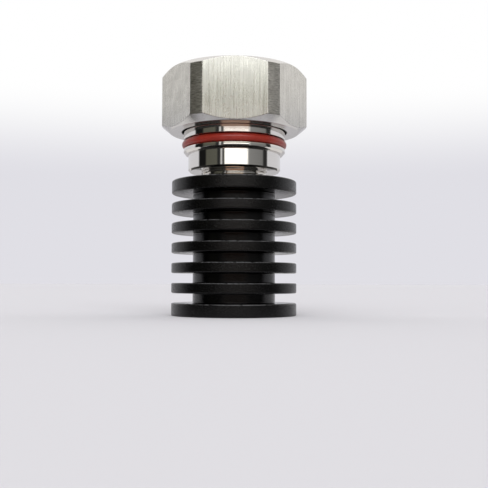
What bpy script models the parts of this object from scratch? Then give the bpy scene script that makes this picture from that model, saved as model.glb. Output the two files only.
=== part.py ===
"""Coaxial terminator: a coupling-nut connector body on a round finned heat sink.

The part stands on the flat end of its heat sink. The origin is the centre of that end,
+Z runs along the axis towards the mating end, and one flat of the nut faces -Y. Metres.
Radii are worked outwards from the resistor and the centre pin, through walls and
clearances, and heights are worked upwards from the heat sink's end.
"""

import math

import bmesh
import bpy

# Fits
SEAT_GAP = 0.0002  # between faces that rest on each other
FIT_GAP = 0.0001  # round a shaft that is held in a hole

# Load resistor, inside the heat sink
ROD_RADIUS = 0.0016
CAP_WALL = 0.0004
CAP_LENGTH = 0.0032

# Ground collet, which grips the rear end cap
COLLET_BASE = 0.0022
COLLET_FINGER_WALL = 0.0009
COLLET_GRIP = 0.0048
COLLET_SLOT = 0.0006

# Slotted socket on the back of the centre pin, which grips the front end cap
SOCKET_WALL = 0.0011
SOCKET_WEB = 0.0012
SOCKET_GRIP = 0.0040
SOCKET_NOSE = 0.0006
STUD_RADIUS = 0.0014
STUD_LENGTH = 0.0032

# Matching sleeve, whose bore widens from the ground end to the pin end
SLEEVE_REAR_SPACE = 0.0011
SLEEVE_FRONT_SPACE = 0.0022
SLEEVE_WALL = 0.0007
SLEEVE_POINTS = 6

# Threaded neck that joins the connector body to the heat sink
NECK_WALL = 0.0017
NECK_SHOWN = 0.00235
UNDERCUT_DEPTH = 0.0006
UNDERCUT_HEIGHT = 0.0003
THREAD_LENGTH = 0.0086
THREAD_SPARE = 0.0006
THREAD_LEAD = 0.0004

# Heat sink
CORE_WALL = 0.0018
FIN_REACH = 0.0051
FIN_COUNT = 7
FIN_THICKNESS = 0.0024
END_FIN_THICKNESS = 0.0030
FIN_SPACE = 0.00235
FIN_EDGE = 0.0002
SINK_FLOOR = 0.0120

# Centre pin and bead
WAIST_STEP = 0.0010
PIN_STEP = 0.0011
PIN_NOSE = 0.0012
PIN_SETBACK = 0.0018
BEAD_THICKNESS = 0.0030

# Outer contact
LINE_SPACE = 0.0045
CONTACT_WALL = 0.0010
CONTACT_EDGE = 0.00025
CONTACT_SHANK = 0.0020
CONTACT_REACH = 0.0075

# Connector body
RELIEF_WALL = 0.0019
CARRIER_STEP = 0.00127
COLLAR_STEP = 0.00114
COLLAR_LENGTH = 0.00415
COLLAR_EDGE_WIDTH = 0.00055
COLLAR_EDGE_HEIGHT = 0.0008
COLLAR_EDGE_POINTS = 4
LIP_LENGTH = 0.00135
LIP_EDGE = 0.0001
LIP_FOOT = 0.0005
CARRIER_LENGTH = 0.0025
LINE_LENGTH = 0.0048
FLANGE_THICKNESS = 0.0013
BODY_EDGE = 0.00025

# Red seal ring in the body's groove
SEAL_SECTION = 0.0019
GROOVE_SIDE_SPACE = 0.00025
SEAL_CLEARANCE = 0.00008

# Face gasket in front of the body's flange
GASKET_THICKNESS = 0.0013
GASKET_EDGE = 0.0002

# Split retaining ring, which carries the nut
RING_THICKNESS = 0.0010
RING_OVERLAP = 0.0012
RING_BITE = 0.00025
RING_SPLIT = 0.0030
RING_CLEARANCE = 0.00015
RING_INNER_SPACE = 0.0004
END_PLAY = 0.0001

# Coupling nut
NUT_CLEARANCE = 0.00046
NUT_TRAVEL = 0.0026
NUT_WEB = 0.0032
NUT_COVER = 0.0014
NUT_WALL = 0.0014
NUT_CORNER = 0.0016
FLANGE_CLEARANCE = 0.00035
CHAMFER_ANGLE = math.radians(39)
NUT_FRONT_FACE_SET = 0.0001
NUT_REAR_FACE_SET = 0.0003
NUT_HOLE_EDGE = 0.0001

# Thread in the nut's mouth, and the relief that it runs out in
COUPLING_PITCH = 0.0015
COUPLING_DEPTH = 0.00082
THREAD_CREST_SHARE = 1 / 4
THREAD_ROOT_SHARE = 1 / 8
THREAD_SHOULDER = 0.0010
RELIEF_LENGTH = 0.0016
RELIEF_DEPTH = 0.0001

# Fineness of the round surfaces, and the angle above which an edge stays sharp
ROUND_STEPS = 40
CORNER_STEPS = 96
INNER_STEPS = 24
THREAD_STEPS = 28
RING_SECTION_STEPS = 12
NOSE_POINTS = 4
SHARP_ANGLE = math.radians(30)
WELD = 0.00001
CUT_SPARE = 0.002  # how far a cutter reaches past what it cuts
BORE_OVERLAP = 0.0001  # how far the thread's cutter reaches into the bore

# Radii, from the resistor outwards
cap_inner = ROD_RADIUS + FIT_GAP
cap_outer = cap_inner + CAP_WALL
grip_radius = cap_outer + FIT_GAP
finger_outer = grip_radius + COLLET_FINGER_WALL
socket_outer = max(grip_radius, STUD_RADIUS + FIT_GAP) + SOCKET_WALL
sleeve_rear = ROD_RADIUS + SLEEVE_REAR_SPACE
sleeve_front = socket_outer + SLEEVE_FRONT_SPACE
sleeve_counterbore = finger_outer + SEAT_GAP
sleeve_outer = max(sleeve_front, sleeve_rear, sleeve_counterbore) + SLEEVE_WALL
neck_bore = sleeve_outer + FIT_GAP
neck_radius = neck_bore + NECK_WALL
thread_hole = neck_radius + FIT_GAP
core_radius = thread_hole + CORE_WALL
fin_radius = core_radius + FIN_REACH

# Radii, from the centre pin outwards
waist_radius = STUD_RADIUS + WAIST_STEP
pin_radius = waist_radius + PIN_STEP
contact_bore = pin_radius + LINE_SPACE
line_step = abs(contact_bore - neck_bore)
contact_outer = contact_bore + CONTACT_WALL
front_bore = contact_outer + FIT_GAP
relief_radius = front_bore + RELIEF_WALL
carrier_radius = relief_radius + CARRIER_STEP
collar_radius = carrier_radius - COLLAR_STEP
nut_hole = carrier_radius + NUT_CLEARANCE
seal_outer = nut_hole - SEAL_CLEARANCE
seal_centre = seal_outer - SEAL_SECTION / 2
groove_root = seal_outer - SEAL_SECTION - SEAT_GAP
ring_inner = relief_radius + RING_INNER_SPACE
ring_outer = nut_hole + RING_OVERLAP
ring_groove = ring_outer + RING_CLEARANCE
thread_minor = ring_outer - RING_BITE
thread_major = thread_minor + COUPLING_DEPTH
relief_outer = thread_major + RELIEF_DEPTH
flange_radius = thread_minor - FLANGE_CLEARANCE
nut_apothem = max(thread_major, ring_groove) + NUT_WALL
nut_radius = nut_apothem + NUT_CORNER

# Heights, from the heat sink's end up
sink_top = (
    2 * END_FIN_THICKNESS
    + (FIN_COUNT - 2) * FIN_THICKNESS
    + (FIN_COUNT - 1) * FIN_SPACE
)
neck_end = sink_top - THREAD_LENGTH
thread_floor = neck_end - THREAD_SPARE
collar_bottom = sink_top + NECK_SHOWN
collar_top = collar_bottom + COLLAR_LENGTH
groove_bottom = collar_top + LIP_LENGTH
groove_top = groove_bottom + SEAL_SECTION + GROOVE_SIDE_SPACE
seal_height = (groove_bottom + groove_top) / 2
relief_bottom = groove_top + CARRIER_LENGTH
relief_top = relief_bottom + RING_THICKNESS + NUT_TRAVEL + 2 * END_PLAY
ring_top = relief_top - END_PLAY
ring_bottom = ring_top - RING_THICKNESS
ring_groove_bottom = ring_bottom - END_PLAY
ring_groove_top = ring_top + END_PLAY
nut_rear = ring_groove_bottom - NUT_WEB
thread_relief_bottom = ring_groove_top + THREAD_SHOULDER
thread_relief_top = thread_relief_bottom + RELIEF_LENGTH
flange_top = relief_top + FLANGE_THICKNESS
gasket_bottom = flange_top + SEAT_GAP
gasket_top = gasket_bottom + GASKET_THICKNESS
contact_tip = flange_top + CONTACT_REACH
nut_front = contact_tip + NUT_COVER
contact_bottom = flange_top - CONTACT_SHANK
bead_top = contact_bottom - SEAT_GAP
bead_bottom = bead_top - BEAD_THICKNESS
bead_shoulder = bead_bottom - SEAT_GAP
line_end = bead_shoulder - LINE_LENGTH
sleeve_top = line_end - line_step - SEAT_GAP
pin_shoulder = bead_top + SEAT_GAP
pin_end = contact_tip - PIN_SETBACK
socket_top = bead_bottom - SEAT_GAP
stud_end = socket_top - STUD_LENGTH
stud_floor = stud_end - SEAT_GAP
socket_floor = stud_floor - SOCKET_WEB
socket_bottom = socket_floor - SOCKET_GRIP
front_cap_top = socket_floor - SEAT_GAP
collet_bottom = SINK_FLOOR + SEAT_GAP
collet_floor = collet_bottom + COLLET_BASE
collet_top = collet_floor + COLLET_GRIP
rear_cap_bottom = collet_floor + SEAT_GAP
sleeve_bottom = collet_floor + SEAT_GAP
rod_bottom = rear_cap_bottom + CAP_WALL + FIT_GAP
rod_top = front_cap_top - CAP_WALL - FIT_GAP


def cleared_scene():
    """Removes what the scene holds and returns the collections for parts and cutters."""
    for obj in list(bpy.data.objects):
        bpy.data.objects.remove(obj, do_unlink=True)
    made = []
    for name in ("coaxial_terminator", "cutters"):
        collection = bpy.data.collections.new(name)
        bpy.context.scene.collection.children.link(collection)
        made.append(collection)
    return made


def paint(name, colour, roughness, metallic):
    material = bpy.data.materials.new(name)
    material.use_nodes = True
    shader = material.node_tree.nodes["Principled BSDF"]
    shader.inputs["Base Color"].default_value = (*colour, 1.0)
    shader.inputs["Roughness"].default_value = roughness
    shader.inputs["Metallic"].default_value = metallic
    material.diffuse_color = (*colour, 1.0)
    return material


def turned(name, outline, collection, steps=ROUND_STEPS, ring=False):
    """A solid of revolution about Z from (radius, height) points.

    The points run down the outer side. A ring's points go back up its bore and close.
    """
    mesh = bpy.data.meshes.new(name)
    points = [(radius, 0.0, height) for radius, height in outline]
    edges = [(i, i + 1) for i in range(len(points) - 1)]
    if ring:
        edges.append((len(points) - 1, 0))
    mesh.from_pydata(points, edges, [])
    obj = bpy.data.objects.new(name, mesh)
    collection.objects.link(obj)
    screw = obj.modifiers.new("turn", "SCREW")
    screw.axis = "Z"
    screw.angle = 2 * math.pi
    screw.steps = steps
    screw.render_steps = steps
    screw.use_merge_vertices = True
    screw.merge_threshold = WELD
    return obj


def box(name, low, high, collection, turn=0.0):
    """A box between two corners, turned about Z."""
    middle = [(a + b) / 2 for a, b in zip(low, high)]
    mesh = bpy.data.meshes.new(name)
    build = bmesh.new()
    bmesh.ops.create_cube(build, size=1.0)
    for vertex in build.verts:
        for axis in range(3):
            vertex.co[axis] *= high[axis] - low[axis]
            vertex.co[axis] += middle[axis]
    build.to_mesh(mesh)
    build.free()
    obj = bpy.data.objects.new(name, mesh)
    obj.rotation_euler.z = turn
    collection.objects.link(obj)
    return obj


def hexagon(name, apothem, bottom, top, collection):
    """A hexagonal prism with a flat facing -Y."""
    mesh = bpy.data.meshes.new(name)
    build = bmesh.new()
    radius = apothem / math.cos(math.pi / 6)
    bmesh.ops.create_cone(
        build, cap_ends=True, segments=6, radius1=radius, radius2=radius, depth=top - bottom
    )
    build.to_mesh(mesh)
    build.free()
    obj = bpy.data.objects.new(name, mesh)
    obj.location.z = (bottom + top) / 2
    obj.rotation_euler.z = math.pi / 6
    collection.objects.link(obj)
    return obj


def shape_with(obj, tool, operation):
    """Adds a Boolean and makes its tool a hidden cutter."""
    tool.hide_render = True
    tool.display_type = "WIRE"
    boolean = obj.modifiers.new(tool.name, "BOOLEAN")
    boolean.operation = operation
    boolean.solver = "EXACT"
    boolean.object = tool


def finished(obj, material):
    """Settles the modifiers into the mesh, shades it and paints it."""
    bpy.context.view_layer.update()
    graph = bpy.context.evaluated_depsgraph_get()
    mesh = bpy.data.meshes.new_from_object(obj.evaluated_get(graph))
    mesh.name = obj.name
    obj.modifiers.clear()
    obj.data = mesh
    mesh.shade_smooth()
    mesh.set_sharp_from_angle(angle=SHARP_ANGLE)
    mesh.materials.clear()
    mesh.materials.append(material)
    return obj


def fin_heights():
    """The bottom and top of each fin, from the end of the heat sink up."""
    heights = []
    bottom = 0.0
    for index in range(FIN_COUNT):
        at_end = index in (0, FIN_COUNT - 1)
        top = bottom + (END_FIN_THICKNESS if at_end else FIN_THICKNESS)
        heights.append((bottom, top))
        bottom = top + FIN_SPACE
    return heights


def heat_sink(parts, material):
    """One turned bar: a core with square-cut fins, tapped for the neck and bored behind it."""
    outline = []
    fins = fin_heights()
    for index in reversed(range(FIN_COUNT)):
        bottom, top = fins[index]
        if index < FIN_COUNT - 1:
            outline.append((core_radius, top))
        outline.append((fin_radius - FIN_EDGE, top))
        outline.append((fin_radius, top - FIN_EDGE))
        outline.append((fin_radius, bottom + FIN_EDGE))
        outline.append((fin_radius - FIN_EDGE, bottom))
        if index > 0:
            outline.append((core_radius, bottom))
    hole = [
        (0.0, SINK_FLOOR),
        (neck_bore, SINK_FLOOR),
        (neck_bore, thread_floor),
        (thread_hole, thread_floor),
        (thread_hole, sink_top - THREAD_LEAD),
        (thread_hole + THREAD_LEAD, sink_top),
    ]
    outline = hole + outline + [(0.0, 0.0)]
    return finished(turned("heat_sink", outline, parts), material)


def connector_body(parts, material):
    """Neck, collar, seal groove, relief for the retaining ring and front flange, in one piece."""
    undercut = neck_radius - UNDERCUT_DEPTH
    undercut_bottom = collar_bottom - UNDERCUT_HEIGHT
    rounding = []
    for index in range(COLLAR_EDGE_POINTS):
        angle = math.pi / 2 * index / (COLLAR_EDGE_POINTS - 1)
        radius = collar_radius - COLLAR_EDGE_WIDTH * (1 - math.cos(angle))
        rounding.append((radius, collar_bottom + COLLAR_EDGE_HEIGHT * (1 - math.sin(angle))))
    outside = [
        (flange_radius - BODY_EDGE, flange_top),
        (flange_radius, flange_top - BODY_EDGE),
        (flange_radius, relief_top),
        (relief_radius, relief_top),
        (relief_radius, relief_bottom),
        (carrier_radius - BODY_EDGE, relief_bottom),
        (carrier_radius, relief_bottom - BODY_EDGE),
        (carrier_radius, groove_top + LIP_EDGE),
        (carrier_radius - LIP_EDGE, groove_top),
        (groove_root, groove_top),
        (groove_root, groove_bottom),
        (carrier_radius - LIP_EDGE, groove_bottom),
        (carrier_radius, groove_bottom - LIP_EDGE),
        (carrier_radius, collar_top + LIP_FOOT),
        (carrier_radius - LIP_FOOT, collar_top),
        (collar_radius, collar_top),
        *rounding,
        (undercut, collar_bottom),
        (undercut, undercut_bottom),
        (neck_radius, undercut_bottom - UNDERCUT_DEPTH),
        (neck_radius, neck_end + THREAD_LEAD),
        (neck_radius - THREAD_LEAD, neck_end),
    ]
    inside = [
        (neck_bore, neck_end),
        (neck_bore, line_end - line_step),
        (contact_bore, line_end),
        (contact_bore, bead_shoulder),
        (front_bore, bead_shoulder),
        (front_bore, flange_top - BODY_EDGE),
        (front_bore + BODY_EDGE, flange_top),
    ]
    return finished(turned("connector_body", outside + inside, parts, ring=True), material)


def outer_contact(parts, material):
    """The sleeve that meets the mating connector, and holds the bead at its back."""
    outline = [
        (contact_bore + CONTACT_EDGE, contact_tip),
        (contact_outer - CONTACT_EDGE, contact_tip),
        (contact_outer, contact_tip - CONTACT_EDGE),
        (contact_outer, contact_bottom),
        (contact_bore, contact_bottom),
        (contact_bore, contact_tip - CONTACT_EDGE),
    ]
    return finished(turned("outer_contact", outline, parts, ring=True), material)


def insulator_bead(parts, material):
    bore = waist_radius + FIT_GAP
    outline = [
        (contact_outer, bead_top),
        (contact_outer, bead_bottom),
        (bore, bead_bottom),
        (bore, bead_top),
    ]
    return finished(turned("insulator_bead", outline, parts, ring=True), material)


def center_pin(parts, material):
    """The pin with a rounded nose, its waist in the bead and its rear stud."""
    nose_centre = (pin_radius - PIN_NOSE, pin_end - PIN_NOSE)
    outline = [(0.0, pin_end)]
    for index in range(NOSE_POINTS):
        angle = math.pi / 2 * (1 - index / (NOSE_POINTS - 1))
        radius = nose_centre[0] + PIN_NOSE * math.cos(angle)
        outline.append((radius, nose_centre[1] + PIN_NOSE * math.sin(angle)))
    outline += [
        (pin_radius, pin_shoulder),
        (waist_radius, pin_shoulder),
        (waist_radius, bead_bottom),
        (STUD_RADIUS, bead_bottom),
        (STUD_RADIUS, stud_end),
        (0.0, stud_end),
    ]
    return finished(turned("center_pin", outline, parts), material)


def saw_cuts(obj, bottom, top, reach, cutters):
    """Two crossing slots that leave four spring fingers."""
    for index in range(2):
        cut = box(
            f"{obj.name}_slot_{index + 1}",
            (-reach, -COLLET_SLOT / 2, bottom),
            (reach, COLLET_SLOT / 2, top),
            cutters,
            turn=index * math.pi / 2 + math.pi / 4,
        )
        shape_with(obj, cut, "DIFFERENCE")


def pin_socket(parts, cutters, material):
    """Screws on the pin's stud behind the bead, and grips the resistor's front cap."""
    outline = [
        (STUD_RADIUS + FIT_GAP, socket_top),
        (socket_outer, socket_top),
        (socket_outer, socket_bottom + SOCKET_NOSE),
        (socket_outer - SOCKET_NOSE, socket_bottom),
        (grip_radius, socket_bottom),
        (grip_radius, socket_floor),
        (0.0, socket_floor),
    ]
    outline = [(0.0, stud_floor), (STUD_RADIUS + FIT_GAP, stud_floor)] + outline
    socket = turned("pin_socket", outline, parts, steps=INNER_STEPS)
    top = socket_floor - COLLET_SLOT
    saw_cuts(socket, socket_bottom - CUT_SPARE, top, socket_outer + CUT_SPARE, cutters)
    return finished(socket, material)


def ground_collet(parts, cutters, material):
    """A disc on the heat sink's floor with four fingers that grip the resistor's rear cap."""
    outline = [
        (0.0, collet_floor),
        (grip_radius, collet_floor),
        (grip_radius, collet_top),
        (finger_outer, collet_top),
        (finger_outer, collet_floor),
        (sleeve_outer, collet_floor),
        (sleeve_outer, collet_bottom),
        (0.0, collet_bottom),
    ]
    collet = turned("ground_collet", outline, parts, steps=INNER_STEPS)
    bottom = collet_floor + COLLET_SLOT
    saw_cuts(collet, bottom, collet_top + CUT_SPARE, finger_outer + CUT_SPARE, cutters)
    return finished(collet, material)


def matching_sleeve(parts, material):
    """A sleeve whose bore grows by a constant ratio along the resistor."""
    bore = [
        (sleeve_counterbore, sleeve_bottom),
        (sleeve_counterbore, collet_top + SEAT_GAP),
    ]
    start = collet_top + SEAT_GAP
    for index in range(SLEEVE_POINTS):
        share = index / (SLEEVE_POINTS - 1)
        radius = sleeve_rear * (sleeve_front / sleeve_rear) ** share
        bore.append((radius, start + (sleeve_top - start) * share))
    outline = [(sleeve_outer, sleeve_top), (sleeve_outer, sleeve_bottom)] + bore
    sleeve = turned("matching_sleeve", outline, parts, steps=INNER_STEPS, ring=True)
    return finished(sleeve, material)


def resistor(parts, rod_material, cap_material):
    """A ceramic rod with a plated cup on each end."""
    rod = [(0.0, rod_top), (ROD_RADIUS, rod_top), (ROD_RADIUS, rod_bottom), (0.0, rod_bottom)]
    finished(turned("resistor_rod", rod, parts, steps=INNER_STEPS), rod_material)
    front = [
        (0.0, front_cap_top),
        (cap_outer, front_cap_top),
        (cap_outer, front_cap_top - CAP_LENGTH),
        (cap_inner, front_cap_top - CAP_LENGTH),
        (cap_inner, front_cap_top - CAP_WALL),
        (0.0, front_cap_top - CAP_WALL),
    ]
    finished(turned("front_end_cap", front, parts, steps=INNER_STEPS), cap_material)
    rear = [
        (0.0, rear_cap_bottom + CAP_WALL),
        (cap_inner, rear_cap_bottom + CAP_WALL),
        (cap_inner, rear_cap_bottom + CAP_LENGTH),
        (cap_outer, rear_cap_bottom + CAP_LENGTH),
        (cap_outer, rear_cap_bottom),
        (0.0, rear_cap_bottom),
    ]
    finished(turned("rear_end_cap", rear, parts, steps=INNER_STEPS), cap_material)


def seal_ring(parts, material):
    """The red ring in the body's groove, which lies just inside the nut's rear hole."""
    bpy.ops.mesh.primitive_torus_add(
        major_segments=ROUND_STEPS,
        minor_segments=RING_SECTION_STEPS,
        major_radius=seal_centre,
        minor_radius=SEAL_SECTION / 2,
        location=(0.0, 0.0, seal_height),
    )
    ring = bpy.context.object
    ring.name = "seal_ring"
    for collection in list(ring.users_collection):
        collection.objects.unlink(ring)
    parts.objects.link(ring)
    return finished(ring, material)


def face_gasket(parts, material):
    inner = contact_outer + SEAT_GAP
    outer = flange_radius - GASKET_EDGE
    outline = [
        (outer - GASKET_EDGE, gasket_top),
        (outer, gasket_top - GASKET_EDGE),
        (outer, gasket_bottom),
        (inner, gasket_bottom),
        (inner, gasket_top - GASKET_EDGE),
        (inner + GASKET_EDGE, gasket_top),
    ]
    return finished(turned("face_gasket", outline, parts, ring=True), material)


def retaining_ring(parts, cutters, material):
    """A split ring that sits in the nut's groove and slides in the body's relief."""
    outline = [
        (ring_outer, ring_top),
        (ring_outer, ring_bottom),
        (ring_inner, ring_bottom),
        (ring_inner, ring_top),
    ]
    ring = turned("retaining_ring", outline, parts, ring=True)
    split = box(
        "retaining_ring_split",
        (-RING_SPLIT / 2, 0.0, ring_bottom - CUT_SPARE),
        (RING_SPLIT / 2, ring_outer + CUT_SPARE, ring_top + CUT_SPARE),
        cutters,
    )
    shape_with(ring, split, "DIFFERENCE")
    return finished(ring, material)


def thread_groove(name, minor, major, bottom, top, collection):
    """A cutter for a right-hand inside thread: the groove's section, spun up a helix."""
    mesh = bpy.data.meshes.new(name)
    build = bmesh.new()
    half_root = COUPLING_PITCH * THREAD_ROOT_SHARE / 2
    half_mouth = COUPLING_PITCH * (1 - THREAD_CREST_SHARE) / 2
    inner = minor - BORE_OVERLAP
    flare = BORE_OVERLAP * (half_mouth - half_root) / (major - minor)
    section = [
        (inner, -half_mouth - flare),
        (major, -half_root),
        (major, half_root),
        (inner, half_mouth + flare),
    ]
    face = build.faces.new([build.verts.new((radius, 0.0, bottom + z)) for radius, z in section])
    steps = math.ceil((top - bottom) / COUPLING_PITCH * THREAD_STEPS)
    bmesh.ops.spin(
        build,
        geom=[face, *face.edges, *face.verts],
        axis=(0.0, 0.0, 1.0),
        dvec=(0.0, 0.0, COUPLING_PITCH / THREAD_STEPS),
        angle=2 * math.pi * steps / THREAD_STEPS,
        steps=steps,
    )
    bmesh.ops.recalc_face_normals(build, faces=build.faces)
    build.to_mesh(mesh)
    build.free()
    obj = bpy.data.objects.new(name, mesh)
    collection.objects.link(obj)
    return obj


def coupling_nut(parts, cutters, material):
    """Round bar chamfered at both ends, milled to six flats, bored and threaded from the front."""
    slope = math.tan(CHAMFER_ANGLE)
    front_face = nut_apothem - NUT_FRONT_FACE_SET
    rear_face = nut_apothem - NUT_REAR_FACE_SET
    blank = [
        (0.0, nut_front),
        (front_face, nut_front),
        (nut_radius, nut_front - (nut_radius - front_face) * slope),
        (nut_radius, nut_rear + (nut_radius - rear_face) * slope),
        (rear_face, nut_rear),
        (0.0, nut_rear),
    ]
    nut = turned("coupling_nut", blank, parts, steps=CORNER_STEPS)
    flats = hexagon(
        "nut_flats", nut_apothem, nut_rear - CUT_SPARE, nut_front + CUT_SPARE, cutters
    )
    shape_with(nut, flats, "INTERSECT")
    mouth = thread_major + THREAD_LEAD
    bore = [
        (0.0, nut_front + CUT_SPARE),
        (mouth, nut_front + CUT_SPARE),
        (mouth, nut_front),
        (thread_minor, nut_front - (mouth - thread_minor)),
        (thread_minor, thread_relief_top),
        (relief_outer, thread_relief_top),
        (relief_outer, thread_relief_bottom),
        (thread_minor, thread_relief_bottom),
        (thread_minor, ring_groove_top),
        (ring_groove, ring_groove_top),
        (ring_groove, ring_groove_bottom),
        (nut_hole, ring_groove_bottom),
        (nut_hole, nut_rear + NUT_HOLE_EDGE),
        (nut_hole + NUT_HOLE_EDGE, nut_rear),
        (nut_hole + NUT_HOLE_EDGE, nut_rear - CUT_SPARE),
        (0.0, nut_rear - CUT_SPARE),
    ]
    shape_with(nut, finished(turned("nut_bore", bore, cutters), material), "DIFFERENCE")
    groove_start = (thread_relief_bottom + thread_relief_top) / 2
    groove_end = nut_front + COUPLING_PITCH
    groove = thread_groove(
        "nut_thread", thread_minor, thread_major, groove_start, groove_end, cutters
    )
    shape_with(nut, groove, "DIFFERENCE")
    return finished(nut, material)


def main():
    parts, cutters = cleared_scene()
    anodised = paint("black_anodised_aluminium", (0.012, 0.012, 0.014), 0.42, 1.0)
    nickel = paint("polished_nickel", (0.78, 0.77, 0.74), 0.06, 1.0)
    steel = paint("brushed_steel", (0.70, 0.69, 0.67), 0.32, 1.0)
    silver = paint("silver_plate", (0.88, 0.87, 0.84), 0.14, 1.0)
    spring = paint("spring_bronze", (0.72, 0.52, 0.30), 0.28, 1.0)
    red = paint("red_silicone", (0.36, 0.035, 0.022), 0.38, 0.0)
    ptfe = paint("white_ptfe", (0.86, 0.86, 0.84), 0.45, 0.0)
    ceramic = paint("resistor_ceramic", (0.22, 0.24, 0.26), 0.5, 0.0)
    ring_steel = paint("spring_steel", (0.45, 0.45, 0.46), 0.3, 1.0)
    heat_sink(parts, anodised)
    connector_body(parts, nickel)
    outer_contact(parts, nickel)
    insulator_bead(parts, ptfe)
    center_pin(parts, silver)
    pin_socket(parts, cutters, spring)
    resistor(parts, ceramic, silver)
    matching_sleeve(parts, nickel)
    ground_collet(parts, cutters, spring)
    seal_ring(parts, red)
    face_gasket(parts, red)
    retaining_ring(parts, cutters, ring_steel)
    coupling_nut(parts, cutters, steel)


main()
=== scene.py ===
"""Looks of the coaxial terminator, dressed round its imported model. Metres and radians."""

import math

import bmesh
import bpy
from mathutils import Matrix, Vector


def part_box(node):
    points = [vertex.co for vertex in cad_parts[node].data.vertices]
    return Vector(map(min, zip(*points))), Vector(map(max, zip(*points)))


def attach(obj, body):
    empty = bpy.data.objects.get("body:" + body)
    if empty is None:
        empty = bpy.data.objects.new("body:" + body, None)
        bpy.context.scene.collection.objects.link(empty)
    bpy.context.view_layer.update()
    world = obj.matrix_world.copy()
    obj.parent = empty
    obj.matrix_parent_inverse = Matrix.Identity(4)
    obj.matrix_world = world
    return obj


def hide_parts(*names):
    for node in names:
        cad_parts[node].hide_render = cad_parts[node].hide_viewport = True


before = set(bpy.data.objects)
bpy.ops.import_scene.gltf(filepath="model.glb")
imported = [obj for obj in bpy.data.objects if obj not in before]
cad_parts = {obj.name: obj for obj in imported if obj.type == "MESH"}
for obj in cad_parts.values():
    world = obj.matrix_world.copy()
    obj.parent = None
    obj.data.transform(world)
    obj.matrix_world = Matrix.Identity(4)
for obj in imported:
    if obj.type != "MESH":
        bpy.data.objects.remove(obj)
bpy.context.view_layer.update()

# Fineness of the turned pieces
TURN_STEPS = 192
SMALL_STEPS = 96
TUBE_POINTS = 40
CORNER_POINTS = 4
SAME_PLACE = 2e-6
WELD = 2e-8
STRAIGHT_TURN = math.radians(4)
SHARP_ANGLE = math.radians(32)
CORNER_SHARE = 0.45

# Edge roundings of the turned pieces
SINK_EDGE = 0.0003
BODY_EDGE = 0.00005
SOFT_TURN = math.radians(40)
SOFT_EDGE = 0.0005
CONTACT_EDGE = 0.00012
BEAD_EDGE = 0.00010
GASKET_EDGE = 0.00018
PIN_EDGE = 0.00060

# The neck's fine thread, and a tooth's form as shares of its pitch
NECK_PITCH = 0.00075
NECK_DEPTH = 0.00046
NECK_FADE = 0.0002
COLLAR_CHAMFER = 0.0004
# Places in the CAD body's outline, counted from its highest point
NECK_END, COLLAR_FOOT, COLLAR_SIDE = 9, 12, 15
ROWS_PER_PITCH = 16
CREST_SHARE = 0.25
FLANK_SHARE = 0.3125

# Coupling nut, beyond what the frame gives
CREASE = 0.00005
NUT_EDGE = 0.00009
FLAT_BLEND = 0.000016
FLAT_COLUMNS = 18
ARC_COLUMNS = 6
EDGE_SPREAD = [math.radians(a) for a in (-1.2, -0.7, -0.4, -0.2, 0.0, 0.2, 0.4, 0.7, 1.2)]

# Camera, fitted to the fins of the photograph
CAMERA_PLACE = (0.00242, -0.1836, 0.00793)
CAMERA_PITCH = 0.0503
CAMERA_ROLL = 0.0029
NUT_TURN = math.radians(-1.3)
FOCAL_PIXELS = 762.1
FRAME_PIXELS = 488
SENSOR_MM = 36.0
NEAREST_SHOWN = 0.001


# ---- Shapes

def cad_outline(node):
    """A turned CAD node's half section: (radius, height) points in order, and whether they close."""
    build = bmesh.new()
    build.from_mesh(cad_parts[node].data)
    bmesh.ops.remove_doubles(build, verts=build.verts, dist=SAME_PLACE)
    kept = [v for v in build.verts if abs(v.co.y) < SAME_PLACE and v.co.x > -SAME_PLACE]
    beside = {v: [] for v in kept}
    for edge in build.edges:
        a, b = edge.verts
        if a in beside and b in beside:
            beside[a].append(b)
            beside[b].append(a)
    ends = [v for v in kept if len(beside[v]) == 1]
    walk = [max(ends or kept, key=lambda v: v.co.z)]
    while True:
        onward = [v for v in beside[walk[-1]] if v not in walk]
        if not onward:
            break
        walk.append(onward[0])
    points = [(max(v.co.x, 0.0), v.co.z) for v in walk]
    build.free()
    if ends:
        points = [(0.0, points[0][1])] + points + [(0.0, points[-1][1])]
    return points, not ends


def section_points(node):
    """The (radius, height) points where a CAD node's skin meets the +X half plane, from the lowest up."""
    spots = {
        (round(v.co.z, 7), round(v.co.x, 7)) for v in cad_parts[node].data.vertices
        if abs(v.co.y) < SAME_PLACE and v.co.x > 0
    }
    return [(r, z) for z, r in sorted(spots)]


def rounded(points, closed, radius, soft_radius=None):
    """The outline with every corner drawn as a small arc, and slight corners with a larger one."""
    result = []
    count = len(points)
    for i, place in enumerate(points):
        here = Vector(place)
        if not closed and i in (0, count - 1):
            result.append(here)
            continue
        before = Vector(points[i - 1]) - here
        after = Vector(points[(i + 1) % count]) - here
        turn = math.pi - before.angle(after)
        if turn < STRAIGHT_TURN:
            result.append(here)
            continue
        chosen = soft_radius if soft_radius and turn < SOFT_TURN else radius
        reach = min(chosen * math.tan(turn / 2), CORNER_SHARE * before.length, CORNER_SHARE * after.length)
        start, end = here + before.normalized() * reach, here + after.normalized() * reach
        for k in range(CORNER_POINTS + 1):
            t = k / CORNER_POINTS
            result.append((1 - t) ** 2 * start + 2 * t * (1 - t) * here + t ** 2 * end)
    return result


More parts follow.
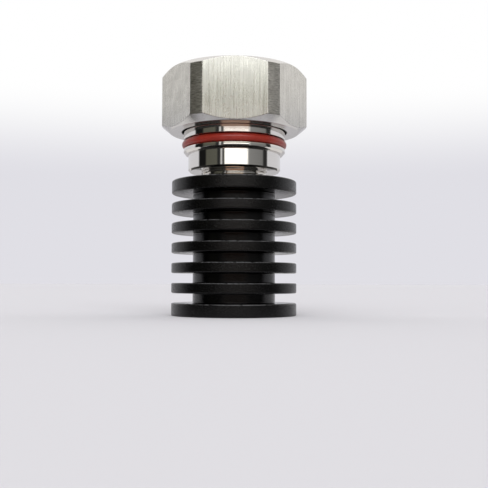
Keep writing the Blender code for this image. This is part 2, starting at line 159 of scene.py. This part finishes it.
def skinned(name, columns, closed, face_kind=None):
    """A closed smooth mesh over columns of points; the last column lies on the first."""
    rows = len(columns[0])
    build = bmesh.new()
    grid = [[build.verts.new(p) for p in column] for column in columns]
    for left, right in zip(grid, grid[1:]):
        for row in range(rows if closed else rows - 1):
            after = (row + 1) % rows
            face = build.faces.new((left[row], left[after], right[after], right[row]))
            face.smooth = True
            face.material_index = face_kind(face.calc_center_median()) if face_kind else 0
    bmesh.ops.remove_doubles(build, verts=build.verts, dist=WELD)
    bmesh.ops.dissolve_degenerate(build, edges=build.edges, dist=WELD)
    bmesh.ops.recalc_face_normals(build, faces=build.faces)
    mesh = bpy.data.meshes.new(name)
    build.to_mesh(mesh)
    build.free()
    mesh.set_sharp_from_angle(angle=SHARP_ANGLE)
    piece = bpy.data.objects.new(name, mesh)
    bpy.context.scene.collection.objects.link(piece)
    weighted = piece.modifiers.new("Even shading", "WEIGHTED_NORMAL")
    weighted.keep_sharp = True
    return piece


def around(steps):
    """Angles of equal steps round the axis, the last one back at the first."""
    return [math.tau * i / steps for i in range(steps + 1)]


def turned(name, outline, closed, steps):
    """A lathe piece from its half section."""
    columns = [[(r * math.cos(a), r * math.sin(a), z) for r, z in outline] for a in around(steps)]
    return skinned(name, columns, closed)


def tooth(phase):
    """How deep the thread's groove is at a share of its pitch, from 0 on the crest to 1 at the root."""
    away = abs(phase % 1.0 - 0.5)
    return min(max((0.5 - CREST_SHARE / 2 - away) / FLANK_SHARE, 0.0), 1.0)


def thread_rows(angle, low, high, pitch, crest, fade=None):
    """(height, groove depth share) down a column of a right-hand thread, with rows that follow the helix.

    The height of a crest is given at angle 0, and with a fade the groove runs out at both ends.
    """
    lead = crest + angle / math.tau * pitch
    top = math.ceil((high - crest) / pitch)
    count = math.ceil((high - low) / pitch + 2) * ROWS_PER_PITCH
    rows = []
    for i in range(count + 1):
        z = min(max(lead + (top - i / ROWS_PER_PITCH) * pitch, low), high)
        share = min(1.0, (z - low) / fade, (high - z) / fade) if fade else 1.0
        rows.append((z, share * tooth((lead - z) / pitch)))
    return rows


def body_columns():
    """The connector body's columns, with a real thread on its neck up to a chamfered collar."""
    points, closed = cad_outline("connector_body")
    neck, foot, collar = points[NECK_END][0], points[COLLAR_FOOT][1], points[COLLAR_SIDE][0]
    points[NECK_END:COLLAR_SIDE + 1] = [
        (neck, foot), (collar - COLLAR_CHAMFER, foot), (collar, foot + COLLAR_CHAMFER)
    ]
    outline = rounded(points, closed, BODY_EDGE, SOFT_EDGE)
    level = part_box("heat_sink")[1].z
    crossing = [
        i for i in range(len(outline))
        if (outline[i][1] - level) * (outline[(i + 1) % len(outline)][1] - level) < 0
    ]
    start = max(crossing, key=lambda i: outline[i][0])
    ends = outline[start], outline[(start + 1) % len(outline)]
    low, high = sorted(p[1] for p in ends)
    columns = []
    for angle in around(TURN_STEPS):
        grooves = thread_rows(angle, low, high, NECK_PITCH, high, NECK_FADE)
        rows = [(ends[0][0] - NECK_DEPTH * deep, z) for z, deep in grooves]
        if ends[0][1] < ends[1][1]:
            rows.reverse()
        section = outline[:start] + rows + outline[start + 2:]
        columns.append([(r * math.cos(angle), r * math.sin(angle), z) for r, z in section])
    return columns, closed


NUT_LOW, NUT_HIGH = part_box("coupling_nut")
APOTHEM = NUT_HIGH.y
CORNER_RADIUS = NUT_HIGH.x
FLAT_HALF_ANGLE = math.acos(APOTHEM / CORNER_RADIUS)


def nut_angles():
    """Angles round the nut, close together where a flat meets a corner."""
    reach = FLAT_HALF_ANGLE + EDGE_SPREAD[0]
    flat = [math.atan(math.tan(reach) * (2 * i / FLAT_COLUMNS - 1)) for i in range(1, FLAT_COLUMNS)]
    edge = [FLAT_HALF_ANGLE + spread for spread in EDGE_SPREAD]
    left = [-a for a in reversed(edge)]
    sixth = math.tau / 6
    gap = (sixth - 2 * edge[-1]) / ARC_COLUMNS
    arc = [edge[-1] + gap * i for i in range(1, ARC_COLUMNS)]
    angles = []
    for side in range(6):
        angles += [sixth * (side + 0.5) + a for a in left + flat + edge + arc]
    return angles + [angles[0] + math.tau]


def nut_reach(angle):
    """The nut's outer radius at an angle: its flat or its turned corner, softly joined."""
    sixth = math.tau / 6
    off = angle % sixth - sixth / 2
    flat = APOTHEM / math.cos(off)
    return CORNER_RADIUS - FLAT_BLEND * math.log(1 + math.exp((CORNER_RADIUS - flat) / FLAT_BLEND))


def chamfered_end(reach, face, start, slope):
    """The rows of one end of the nut, from its flat face out over the chamfer to its side."""
    def height(r):
        away = (r - start) / CREASE
        return face + slope * CREASE * (away if away > 30 else math.log(1 + math.exp(away)))

    edge = reach - NUT_EDGE
    radii = [min(start + k * CREASE, edge) for k in (-3, -1.5, -0.7, 0, 0.7, 1.5, 3)] + [edge]
    rows = [(r, height(r)) for r in radii]
    first, corner = Vector(rows[-1]), Vector((reach, height(reach)))
    last = corner + Vector((0, math.copysign(NUT_EDGE, slope)))
    for k in range(1, CORNER_POINTS + 1):
        t = k / CORNER_POINTS
        rows.append(tuple((1 - t) ** 2 * first + 2 * t * (1 - t) * corner + t ** 2 * last))
    return rows


def nut_columns():
    """The coupling nut's columns: hexagon, chamfers and the thread inside, on the CAD nut's own points."""
    spots = section_points("coupling_nut")  # numbered from the nut's rear face to its front face
    front, rear = NUT_HIGH.z, NUT_LOW.z
    hole_edge, rear_start, corner = spots[0], spots[1][0], spots[3]
    slope = (corner[1] - rear) / (corner[0] - rear_start)
    mouth, front_start = spots[-2][0], spots[-1][0]
    crest, thread_low = spots[10]
    root, root_top, next_root = spots[13], spots[14], spots[17]
    pitch = next_root[1] - root[1]
    crest_height = (root[1] + root_top[1] + pitch) / 2
    behind_thread = [spots[i] for i in (11, 9, 8, 6, 7, 5, 4, 2)]
    columns = []
    for angle in nut_angles():
        reach = nut_reach(angle)
        inner = [
            (max(mouth - (front - z), crest + (root[0] - crest) * deep), z)
            for z, deep in thread_rows(angle, thread_low, front - NUT_EDGE, pitch, crest_height)
        ]
        section = (
            [hole_edge]
            + chamfered_end(reach, rear, rear_start, slope)
            + list(reversed(chamfered_end(reach, front, front_start, -slope)))
            + [(mouth + NUT_EDGE, front)]
            + inner
            + behind_thread
        )
        columns.append([(r * math.cos(angle), r * math.sin(angle), z) for r, z in section])
    return columns


def nut_face_kind(centre):
    """0 on the milled flats, 1 on the turned corners between them and 2 on the chamfers and inside."""
    radius = math.hypot(centre.x, centre.y)
    off = math.atan2(centre.y, centre.x) % (math.tau / 6) - math.tau / 12
    if abs(radius * math.cos(off) - APOTHEM) < FLAT_BLEND:
        return 0
    return 1 if radius > CORNER_RADIUS - NUT_EDGE else 2


# ---- Materials

# The heat sink's finish: its blacks, and how its roughness and relief go from the grooves to the rims
BLACK_DARK, BLACK_LIGHT = (0.0004, 0.0004, 0.0005), (0.0016, 0.0015, 0.0016)
SINK_SPECULAR = 0.3
SINK_GRAIN, SINK_CLOUD = 4.0, 0.3
GRAIN_SHOWN = (0.35, 0.75)
GRAIN_SPREAD, CLOUD_SPREAD = (0.75, 1.25), 0.12
GROOVE_TO_RIM = (9.5, 15.0)
GROOVE_TO_RIM_ROUGHNESS = (0.10, 0.24)
GROOVE_TO_RIM_RELIEF = (0.5, 1.0)
SINK_RELIEF = 0.00005
# Worn edges, partly a painted highlight in front: the metal, marks per mm, and where radius in mm, front and
# slope set in
BARE_AND_HIGHLIT = (0.11, 0.11, 0.115)
WORN_AND_HIGHLIT_METAL = 0.5
WEAR_AND_HIGHLIGHT_GRAIN, WEAR_AND_HIGHLIGHT_SHARE = 1.3, (0.36, 0.60)
WORN_AND_HIGHLIT_RADIUS, HIGHLIT_FRONT, HIGHLIT_UPWARD = (14.70, 14.78), (0.80, 0.92), (0.25, 0.55)
# Between these lie most values of a noise
MIDDLE = (0.3, 0.7)
# How a metal's roughness varies: with its marks, as shares of itself, and in patches, with their number per mm
MARK_SPREAD, PATCH_SPREAD, PATCH_SCALE = (0.85, 1.15), 0.03, 0.35
# Rubber, plastic and ceramic: the grains and clouds per mm, how the roughness varies and the grain's relief
PLAIN_GRAIN, PLAIN_CLOUD = 3.0, 0.5
PLAIN_SPREAD = (-0.06, 0.08)
PLAIN_RELIEF = 0.00001
# How a metal's highlight is drawn out: by marks along the axis or round it
ALONG, AROUND = 0.0, 0.25
# How a lathe's marks go on from the faces to the sides, as height per radius
LATHE_SLANT = 3.1


def new_material(name, colour, roughness, metallic=0.0):
    """A material with a principled shader."""
    material = bpy.data.materials.new(name)
    material.use_nodes = True
    tree = material.node_tree
    shader = tree.nodes["Principled BSDF"]
    shader.inputs["Base Color"].default_value = (*colour, 1.0)
    shader.inputs["Roughness"].default_value = roughness
    shader.inputs["Metallic"].default_value = metallic
    return material, tree, shader


def add(tree, kind, *inputs, **settings):
    """A node with its settings made and its first inputs linked or filled; gives its first output."""
    node = tree.nodes.new("ShaderNode" + kind)
    for key, value in settings.items():
        setattr(node, key, value)
    for socket, value in zip(node.inputs, inputs):
        if isinstance(value, bpy.types.NodeSocket):
            tree.links.new(value, socket)
        elif value is not None:
            socket.default_value = value
    return node.outputs[0]


def maths(tree, operation, *inputs):
    return add(tree, "Math", *inputs, operation=operation)


def place_mm(tree):
    """The three coordinates on the object, in millimetres."""
    node = tree.nodes.new("ShaderNodeTexCoord")
    scaled = add(tree, "VectorMath", node.outputs["Object"], (1000.0,) * 3, operation="MULTIPLY")
    parts = tree.nodes.new("ShaderNodeSeparateXYZ")
    tree.links.new(scaled, parts.inputs[0])
    return scaled, parts.outputs


def from_axis(tree, x, y):
    """How far a place is from the axis."""
    squares = [maths(tree, "MULTIPLY", c, c) for c in (x, y)]
    return maths(tree, "POWER", maths(tree, "ADD", *squares), 0.5)


def turned_vector(tree, fine, coarse):
    """Texture space of a lathe: fine across the turning marks, coarse along them."""
    _, (x, y, z) = place_mm(tree)
    radius = from_axis(tree, x, y)
    across = maths(tree, "MULTIPLY", maths(tree, "ADD", radius, maths(tree, "MULTIPLY", z, LATHE_SLANT)), fine)
    along = [maths(tree, "MULTIPLY", maths(tree, "DIVIDE", c, radius), coarse) for c in (x, y)]
    return add(tree, "CombineXYZ", across, *along)


def stretched_vector(tree, scale):
    """Texture space with its own scale on each axis, per millimetre."""
    scaled, _ = place_mm(tree)
    return add(tree, "VectorMath", scaled, scale, operation="MULTIPLY")


def noise(tree, vector, scale, detail=3.0, roughness=0.6):
    """A noise from 0 to 1, mostly near 0.5."""
    node = tree.nodes.new("ShaderNodeTexNoise")
    tree.links.new(vector, node.inputs["Vector"])
    for socket, value in (("Scale", scale), ("Detail", detail), ("Roughness", roughness)):
        node.inputs[socket].default_value = value
    return node.outputs["Fac"]


def ranged(tree, value, low, high, to_low, to_high):
    """A value brought from one range into another, and kept inside it."""
    node = tree.nodes.new("ShaderNodeMapRange")
    tree.links.new(value, node.inputs["Value"])
    for socket, number in (("From Min", low), ("From Max", high), ("To Min", to_low), ("To Max", to_high)):
        node.inputs[socket].default_value = number
    return node.outputs["Result"]


def stepped(tree, value, low, high):
    """A smooth step of a value from 0 at low to 1 at high."""
    node = tree.nodes.new("ShaderNodeMapRange")
    node.interpolation_type = "SMOOTHSTEP"
    tree.links.new(value, node.inputs["Value"])
    node.inputs["From Min"].default_value = low
    node.inputs["From Max"].default_value = high
    return node.outputs["Result"]


def blended(tree, factor, first, second):
    """A colour between two, by a factor; each is a plain colour or comes from a node."""
    node = tree.nodes.new("ShaderNodeMix")
    node.data_type = "RGBA"
    tree.links.new(factor, node.inputs["Factor"])
    for socket, colour in zip(node.inputs[6:8], (first, second)):
        if isinstance(colour, bpy.types.NodeSocket):
            tree.links.new(colour, socket)
        else:
            socket.default_value = (*colour, 1.0)
    return node.outputs[2]


def bump(tree, shader, height, distance):
    """Fine relief: the surface seems to rise by the distance where the height is 1."""
    node = tree.nodes.new("ShaderNodeBump")
    node.inputs["Strength"].default_value = 1.0
    node.inputs["Distance"].default_value = distance
    tree.links.new(height, node.inputs["Height"])
    tree.links.new(node.outputs["Normal"], shader.inputs["Normal"])


def streaked_metal(name, low, high, roughness, space, relief, anisotropic, rotation=AROUND):
    """A machined metal: fine marks in colour, roughness and relief."""
    material, tree, shader = new_material(name, low, roughness, 1.0)
    shader.inputs["Anisotropic"].default_value = anisotropic
    shader.inputs["Anisotropic Rotation"].default_value = rotation
    tree.links.new(add(tree, "Tangent", direction_type="RADIAL", axis="Z"), shader.inputs["Tangent"])
    marks = noise(tree, space(tree), 1.0, detail=5.0, roughness=0.7)
    tree.links.new(blended(tree, ranged(tree, marks, *MIDDLE, 0, 1), low, high), shader.inputs["Base Color"])
    patches = noise(tree, place_mm(tree)[0], PATCH_SCALE, detail=2.0)
    rough = maths(
        tree, "ADD",
        ranged(tree, marks, *MIDDLE, *[roughness * share for share in MARK_SPREAD]),
        ranged(tree, patches, *MIDDLE, -PATCH_SPREAD, PATCH_SPREAD),
    )
    tree.links.new(rough, shader.inputs["Roughness"])
    bump(tree, shader, marks, relief)
    return material


def anodised():
    """Black anodised aluminium: smooth in the grooves, grainier on the rims, with worn upper edges in front
    that carry a painted highlight.
    """
    material, tree, shader = new_material("anodised", BLACK_DARK, 0.30)
    shader.inputs["Specular IOR Level"].default_value = SINK_SPECULAR
    scaled, (x, y, _) = place_mm(tree)
    grain = noise(tree, scaled, SINK_GRAIN, roughness=0.7)
    cloud = noise(tree, scaled, SINK_CLOUD, detail=2.0)
    radius = from_axis(tree, x, y)
    facing = maths(tree, "MULTIPLY", maths(tree, "DIVIDE", y, radius), -1.0)
    normal = tree.nodes.new("ShaderNodeSeparateXYZ")
    tree.links.new(tree.nodes.new("ShaderNodeTexCoord").outputs["Normal"], normal.inputs[0])
    # Bare, half-metallic marks broken by noise on the outer upper edges, only at the front: the breaks are
    # wear, and the limits to the front and the top make them a painted highlight where the light falls
    worn_and_highlit = ranged(tree, noise(tree, scaled, WEAR_AND_HIGHLIGHT_GRAIN), *WEAR_AND_HIGHLIGHT_SHARE, 0.0, 1.0)
    for value, limits in ((radius, WORN_AND_HIGHLIT_RADIUS), (facing, HIGHLIT_FRONT), (normal.outputs[2], HIGHLIT_UPWARD)):
        worn_and_highlit = maths(tree, "MULTIPLY", worn_and_highlit, stepped(tree, value, *limits))
    black = blended(tree, ranged(tree, grain, *GRAIN_SHOWN, 0, 1), BLACK_DARK, BLACK_LIGHT)
    tree.links.new(blended(tree, worn_and_highlit, black, BARE_AND_HIGHLIT), shader.inputs["Base Color"])
    tree.links.new(maths(tree, "MULTIPLY", worn_and_highlit, WORN_AND_HIGHLIT_METAL), shader.inputs["Metallic"])
    spread = maths(
        tree, "ADD",
        ranged(tree, grain, *MIDDLE, *GRAIN_SPREAD),
        ranged(tree, cloud, *MIDDLE, -CLOUD_SPREAD, CLOUD_SPREAD),
    )
    rough = maths(tree, "MULTIPLY", ranged(tree, radius, *GROOVE_TO_RIM, *GROOVE_TO_RIM_ROUGHNESS), spread)
    tree.links.new(rough, shader.inputs["Roughness"])
    height = maths(tree, "MULTIPLY", grain, ranged(tree, radius, *GROOVE_TO_RIM, *GROOVE_TO_RIM_RELIEF))
    bump(tree, shader, height, SINK_RELIEF)
    return material


def plain(name, low, high, roughness):
    """Rubber, plastic or ceramic: softly clouded, with a fine grain."""
    material, tree, shader = new_material(name, low, roughness)
    grain = noise(tree, place_mm(tree)[0], PLAIN_GRAIN)
    cloud = noise(tree, place_mm(tree)[0], PLAIN_CLOUD, detail=2.0)
    tree.links.new(blended(tree, ranged(tree, cloud, *MIDDLE, 0, 1), low, high), shader.inputs["Base Color"])
    rough = ranged(tree, grain, *MIDDLE, *[roughness + more for more in PLAIN_SPREAD])
    tree.links.new(rough, shader.inputs["Roughness"])
    bump(tree, shader, grain, PLAIN_RELIEF)
    return material


def lathe_space(fine, coarse):
    return lambda tree: turned_vector(tree, fine, coarse)


def flat_space(scale):
    return lambda tree: stretched_vector(tree, scale)


FLAT_STEEL = streaked_metal(
    "flat_steel", (0.50, 0.49, 0.46), (0.82, 0.81, 0.77), roughness=0.27,
    space=flat_space((2.4, 2.4, 0.07)), relief=0.000010, anisotropic=0.98, rotation=ALONG)
CORNER_STEEL = streaked_metal(
    "corner_steel", (0.26, 0.25, 0.22), (0.96, 0.94, 0.89), roughness=0.32,
    space=lathe_space(2.0, 14.0), relief=0.00008, anisotropic=0.3)
TURNED_STEEL = streaked_metal(
    "turned_steel", (0.62, 0.61, 0.59), (0.72, 0.71, 0.69), roughness=0.22,
    space=lathe_space(3.2, 1.0), relief=0.000005, anisotropic=0.4)
NICKEL = streaked_metal(
    "nickel", (0.74, 0.72, 0.68), (0.80, 0.78, 0.74), roughness=0.05,
    space=lathe_space(4.0, 0.6), relief=0.000001, anisotropic=0.3)
CONTACT = streaked_metal(
    "contact", (0.78, 0.74, 0.66), (0.86, 0.82, 0.74), roughness=0.16,
    space=lathe_space(4.0, 0.8), relief=0.000002, anisotropic=0.3)
SILVER = streaked_metal(
    "silver", (0.84, 0.83, 0.80), (0.92, 0.91, 0.88), roughness=0.20,
    space=lathe_space(4.0, 0.8), relief=0.000002, anisotropic=0.3)
BRONZE = streaked_metal(
    "bronze", (0.60, 0.40, 0.20), (0.72, 0.50, 0.28), roughness=0.28,
    space=lathe_space(4.0, 0.8), relief=0.000002, anisotropic=0.3)
SPRING = streaked_metal(
    "spring", (0.30, 0.30, 0.31), (0.42, 0.42, 0.43), roughness=0.35,
    space=lathe_space(4.0, 0.8), relief=0.000003, anisotropic=0.3)
ANODISED = anodised()
RED_RUBBER = plain("red_rubber", (0.26, 0.018, 0.009), (0.32, 0.025, 0.013), 0.32)
WHITE_PLASTIC = plain("white_plastic", (0.80, 0.80, 0.77), (0.86, 0.86, 0.84), 0.42)
CERAMIC = plain("ceramic", (0.10, 0.11, 0.10), (0.14, 0.15, 0.14), 0.5)


# ---- Pieces

def dressed(piece, body, node, slot, *materials):
    """A piece with its materials, on its body and in place of its CAD node."""
    for material in materials:
        piece.data.materials.append(material)
    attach(piece, body)
    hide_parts(node)


SIMPLE_PIECES = [
    ("sink", "heat_sink", SINK_EDGE, TURN_STEPS, "black_anodised_aluminium", ANODISED),
    ("contact_tube", "outer_contact", CONTACT_EDGE, TURN_STEPS, "contact_plate", CONTACT),
    ("contact_pin", "center_pin", PIN_EDGE, SMALL_STEPS, "silver_plate", SILVER),
    ("bead", "insulator_bead", BEAD_EDGE, TURN_STEPS, "white_ptfe", WHITE_PLASTIC),
    ("gasket", "face_gasket", GASKET_EDGE, TURN_STEPS, "red_silicone", RED_RUBBER),
]
for name, node, edge, steps, slot, material in SIMPLE_PIECES:
    points, closed = cad_outline(node)
    dressed(turned(name, rounded(points, closed, edge), closed, steps), "terminator", node, slot, material)

columns, closed = body_columns()
dressed(skinned("body_shell", columns, closed), "terminator", "connector_body", "polished_nickel", NICKEL)

points, _ = cad_outline("seal_ring")
middle = sum((Vector(p) for p in points), Vector((0, 0))) / len(points)
section = max((Vector(p) - middle).length for p in points)
outline = [middle + section * Vector((math.cos(a), math.sin(a))) for a in around(TUBE_POINTS)[:-1]]
dressed(turned("seal", outline, True, TURN_STEPS), "terminator", "seal_ring", "red_silicone", RED_RUBBER)

nut = skinned("nut_shell", nut_columns(), True, nut_face_kind)
dressed(nut, "nut", "coupling_nut", "brushed_steel", FLAT_STEEL, CORNER_STEEL, TURNED_STEEL)

for node, material in {
    "pin_socket": BRONZE, "front_end_cap": SILVER, "rear_end_cap": SILVER, "resistor_rod": CERAMIC,
    "matching_sleeve": CONTACT, "ground_collet": BRONZE, "retaining_ring": SPRING,
}.items():
    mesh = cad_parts[node].data
    mesh.materials.clear()
    mesh.materials.append(material)


# ---- Stage, light and camera

def grey(level):
    return level, level, level


FLOOR_SIZE = 6.0
FLOOR_COLOUR = (0.65, 0.645, 0.68)
# The backdrop that the camera sees: its colour near the floor, and the heights of view, as sines, over
# which it turns white
HORIZON_COLOUR = (0.745, 0.738, 0.785)
BACKDROP_RISE = (0.13, 0.25)
# Brightness of the room round the object, by the angle from the camera's side, in degrees
BACK = (0.74, 0.74, 0.78)
ROOM = [
    (-180, BACK), (-99, BACK), (-95, grey(0.01)), (-75, grey(0.01)), (-71, (0.105, 0.105, 0.085)),
    (-43, (0.115, 0.115, 0.095)), (-40, grey(0.03)), (-34, grey(0.03)), (-32.5, grey(0.6)),
    (-29.5, grey(0.6)), (-28, grey(0.06)), (-24.5, grey(0.06)), (-21, grey(1.0)), (31, grey(1.0)),
    (38, grey(0.26)), (74, grey(0.20)), (78, grey(0.03)), (88, grey(0.03)), (91.5, BACK), (180, BACK),
]
# Brightness of the soft box in front, by height in degrees, as a share of its brightest
BOX_LEVEL = 3.2
BOX_LOW, BOX_HIGH = -5, 57
BOX = [
    (-4, grey(0.02)), (7.6, grey(0.02)), (8.3, (0.11, 0.096, 0.082)), (8.75, (0.60, 0.59, 0.57)),
    (11.3, (0.60, 0.59, 0.57)), (11.55, (0.11, 0.06, 0.045)), (12.2, (0.12, 0.083, 0.067)),
    (13.0, (0.125, 0.13, 0.107)), (14.6, (0.165, 0.17, 0.145)), (15.6, (0.28, 0.285, 0.255)),
    (16.6, (0.54, 0.55, 0.51)), (18, grey(0.8)), (22, grey(1.0)), (36, grey(1.0)), (55, grey(0.35)),
]
# Where the box stands, how far from there it ends, and the heights over which white light from above sets in
BOX_SIDE = 0.09
BOX_END = (math.radians(27), math.radians(31))
ABOVE = (math.radians(50), math.radians(75))
# Painted reflection: what shiny parts mirror of the floor instead of its own colour: its brightness behind and
# in front of the object, near it and far from it, and the distances from the axis over which the near part and
# the far part set in
NEAR_BEHIND, NEAR_FRONT = (0.70, 0.69, 0.70), (0.28, 0.27, 0.26)
FAR_BEHIND, FAR_FRONT = (0.47, 0.465, 0.49), (0.38, 0.23, 0.165)
NEAR_FROM, FAR_FROM = (0.027, 0.042), (0.12, 0.17)
# How much brighter the room is higher up, beside and behind the object, and where that sets in
HIGH_ROOM_TINT = (1.38, 1.35, 1.26)
HIGH_ROOM = (math.radians(11), math.radians(14))
# Soft lamps: strength, spread, pitch and turn
LAMPS = {"key": (0.85, 70, 50, -30), "fill": (0.4, 90, 60, 40)}


def ramp(tree, angle, stops, low, high):
    """A colour that follows an angle through stops in degrees."""
    share = ranged(tree, angle, math.radians(low), math.radians(high), 0.0, 1.0)
    node = tree.nodes.new("ShaderNodeValToRGB")
    tree.links.new(share, node.inputs[0])
    elements = node.color_ramp.elements
    while len(elements) < len(stops):
        elements.new(1.0)
    for element, (degrees, colour) in zip(elements, stops):
        element.position = (degrees - low) / (high - low)
        element.color = (*colour, 1.0)
    return node.outputs["Color"]


def mirrored_floor(behind, front):
    """Brightness of the floor as metal mirrors it, a painted reflection, by the same angle as the room."""
    return [
        (-180, behind), (-99, behind), (-95, grey(0.02)), (-30, grey(0.04)), (-25, front),
        (31, front), (36, grey(0.04)), (88, grey(0.02)), (91.5, behind), (180, behind),
    ]


def room_side(tree, x, y):
    """The angle of a direction from the camera's side, round the object."""
    return maths(tree, "ADD", maths(tree, "ARCTAN2", x, maths(tree, "MULTIPLY", y, -1.0)), -NUT_TURN)


def floor_finish():
    """A plain pale floor; what metal mirrors of it is a painted reflection that goes with the room."""
    material, tree, shader = new_material("floor", FLOOR_COLOUR, 1.0)
    shader.inputs["Specular IOR Level"].default_value = 0.0
    place = tree.nodes.new("ShaderNodeSeparateXYZ")
    tree.links.new(tree.nodes.new("ShaderNodeNewGeometry").outputs["Position"], place.inputs[0])
    x, y = place.outputs[:2]
    # Glossy rays away from the object get the painted reflection of the room; other rays get the floor's own
    # colour
    mirrored = tree.nodes.new("ShaderNodeLightPath").outputs["Is Glossy Ray"]
    reach, side = from_axis(tree, x, y), room_side(tree, x, y)
    near = ramp(tree, side, mirrored_floor(NEAR_BEHIND, NEAR_FRONT), -180, 180)
    far = ramp(tree, side, mirrored_floor(FAR_BEHIND, FAR_FRONT), -180, 180)
    shown = blended(tree, stepped(tree, reach, *FAR_FROM), near, far)
    share = maths(tree, "MULTIPLY", mirrored, stepped(tree, reach, *NEAR_FROM))
    tree.links.new(blended(tree, share, FLOOR_COLOUR, shown), shader.inputs["Base Color"])
    return material


def surroundings():
    """A white room behind the object, a darker one beside it and a soft box in front."""
    world = bpy.data.worlds.new("studio")
    bpy.context.scene.world = world
    world.use_nodes = True
    tree = world.node_tree
    tree.nodes.clear()
    direction = tree.nodes.new("ShaderNodeTexCoord").outputs["Generated"]
    parts = tree.nodes.new("ShaderNodeSeparateXYZ")
    tree.links.new(direction, parts.inputs[0])
    x, y, z = parts.outputs
    side = room_side(tree, x, y)
    rise = maths(tree, "ARCSINE", z)
    room = ramp(tree, side, ROOM, -180, 180)
    box = ramp(tree, rise, BOX, BOX_LOW, BOX_HIGH)
    box = add(tree, "VectorMath", box, grey(BOX_LEVEL), operation="MULTIPLY")
    aside = stepped(tree, maths(tree, "ABSOLUTE", maths(tree, "ADD", side, -BOX_SIDE)), *BOX_END)
    above = stepped(tree, rise, *ABOVE)
    wall = blended(tree, stepped(tree, rise, *HIGH_ROOM), grey(1.0), HIGH_ROOM_TINT)
    lit = add(tree, "VectorMath", room, blended(tree, aside, box, wall), operation="MULTIPLY")
    lit = add(tree, "VectorMath", lit, add(tree, "CombineXYZ", above, above, above), operation="MAXIMUM")
    shaded = add(tree, "Background", lit, 1.0)
    backdrop = blended(tree, stepped(tree, z, *BACKDROP_RISE), HORIZON_COLOUR, grey(1.0))
    shown = add(tree, "Background", backdrop, 1.0)
    camera_ray = tree.nodes.new("ShaderNodeLightPath").outputs["Is Camera Ray"]
    mixed = add(tree, "MixShader", camera_ray, shaded, shown)
    output = tree.nodes.new("ShaderNodeOutputWorld")
    tree.links.new(mixed, output.inputs["Surface"])


def sun(name, strength, spread, pitch, turn):
    """A soft distant lamp that metal doesn't mirror; angles in degrees."""
    light = bpy.data.lights.new(name, "SUN")
    light.energy = strength
    light.angle = math.radians(spread)
    lamp = bpy.data.objects.new(name, light)
    lamp.rotation_euler = (math.radians(pitch), 0, math.radians(turn))
    lamp.visible_glossy = False
    bpy.context.scene.collection.objects.link(lamp)


half = FLOOR_SIZE / 2
floor_mesh = bpy.data.meshes.new("floor")
corners = [(-half, -half, 0), (half, -half, 0), (half, half, 0), (-half, half, 0)]
floor_mesh.from_pydata(corners, [], [(0, 1, 2, 3)])
floor_mesh.materials.append(floor_finish())
floor = bpy.data.objects.new("floor", floor_mesh)
bpy.context.scene.collection.objects.link(floor)
surroundings()
for name, settings in LAMPS.items():
    sun(name, *settings)

camera_data = bpy.data.cameras.new("camera")
camera_data.sensor_width = SENSOR_MM
camera_data.lens = FOCAL_PIXELS / FRAME_PIXELS * SENSOR_MM
camera_data.clip_start = NEAREST_SHOWN
camera = bpy.data.objects.new("camera", camera_data)
around_axis = Matrix.Rotation(NUT_TURN, 4, "Z")
camera.matrix_world = (
    around_axis
    @ Matrix.Translation(CAMERA_PLACE)
    @ Matrix.Rotation(math.pi / 2 + CAMERA_PITCH, 4, "X")
    @ Matrix.Rotation(CAMERA_ROLL, 4, "Z")
)
bpy.context.scene.collection.objects.link(camera)
bpy.context.scene.camera = camera

bpy.context.scene.view_settings.view_transform = "Standard"
